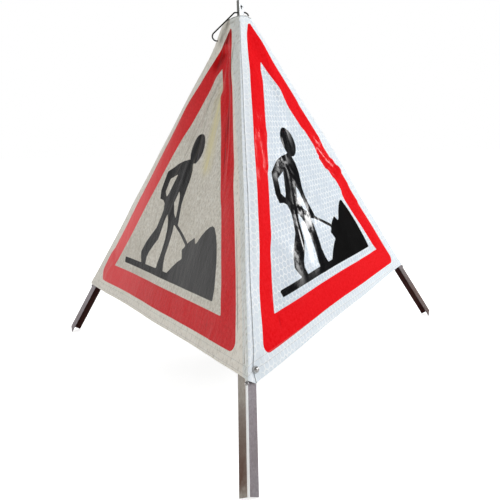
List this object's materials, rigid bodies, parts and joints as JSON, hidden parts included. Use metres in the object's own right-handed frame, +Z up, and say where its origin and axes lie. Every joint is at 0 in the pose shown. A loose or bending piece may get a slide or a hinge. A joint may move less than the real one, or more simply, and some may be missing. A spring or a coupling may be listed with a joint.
{
  "type": "folding sign tripod",
  "caption": "Folding road-works warning sign: angle-steel legs hinged to a head inside a three-sided reflective sleeve, with a lamp tongue and a wire hook.",
  "frame": {"origin": "middle of the box around the open sign, on the ground", "axes": "+X to the viewer's right, +Y away from the front leg, +Z up"},
  "size_m": [1.2512, 1.0892, 1.0041],
  "materials": {
    "galvanised": "dull galvanised",
    "zinc": "zinc plated",
    "nickel": "nickel plated",
    "dark_wire": "dark oiled",
    "sheeting": "coated reflective cloth, printed",
    "hem_cloth": "plain cloth"
  },
  "bodies": {
    "head": {"head_hub": "zinc", "head_plate": "galvanised", "head_bolt": "zinc", "lamp_tongue": "galvanised", "tongue_rivet_right": "nickel", "tongue_rivet_left": "nickel", "sign_panel_left": "sheeting", "sign_panel_right": "sheeting", "sign_panel_back": "sheeting", "closing_flap": "sheeting", "top_hem": "hem_cloth"},
    "leg_front": {"leg_front": "galvanised", "hinge_pin_front": "zinc", "hinge_spacer_front": "zinc", "hinge_spring_front": "dark_wire", "stud_post_front": "nickel", "stud_cap_front": "nickel", "stop_rivet_front": "nickel"},
    "leg_left": {"leg_left": "galvanised", "hinge_pin_left": "zinc", "hinge_spacer_left": "zinc", "hinge_spring_left": "dark_wire", "stud_post_left": "nickel", "stud_cap_left": "nickel", "stop_rivet_left": "nickel"},
    "leg_right": {"leg_right": "galvanised", "hinge_pin_right": "zinc", "hinge_spacer_right": "zinc", "hinge_spring_right": "dark_wire", "stud_post_right": "nickel", "stud_cap_right": "nickel", "stop_rivet_right": "nickel"},
    "wire_hook": {"wire_hook": "dark_wire"}
  },
  "joints": [
    {"name": "leg_front_fold", "type": "hinge", "parent": "head", "child": "leg_front", "pos_m": [0, 0.15421, 0.94382], "axis": [1, 0, 0], "range_deg": [0, 36], "stiffness_Nm_per_rad": 0.4, "springref_deg": -57.3, "deforming": ["hinge_spring_front", "sign_panel_left", "sign_panel_right", "closing_flap"]},
    {"name": "leg_left_fold", "type": "hinge", "parent": "head", "child": "leg_left", "pos_m": [-0.01992, 0.18871, 0.94382], "axis": [-0.5, -0.866, 0], "range_deg": [0, 36], "stiffness_Nm_per_rad": 0.4, "springref_deg": -57.3, "deforming": ["hinge_spring_left", "sign_panel_left", "sign_panel_back"]},
    {"name": "leg_right_fold", "type": "hinge", "parent": "head", "child": "leg_right", "pos_m": [0.01992, 0.18871, 0.94382], "axis": [-0.5, 0.866, 0], "range_deg": [0, 36], "stiffness_Nm_per_rad": 0.4, "springref_deg": -57.3, "deforming": ["hinge_spring_right", "sign_panel_right", "sign_panel_back"]},
    {"name": "wire_hook_swing", "type": "hinge", "parent": "head", "child": "wire_hook", "pos_m": [0, 0.17721, 0.97235], "axis": [1, 0, 0], "range_deg": [-80, 15]}
  ]
}
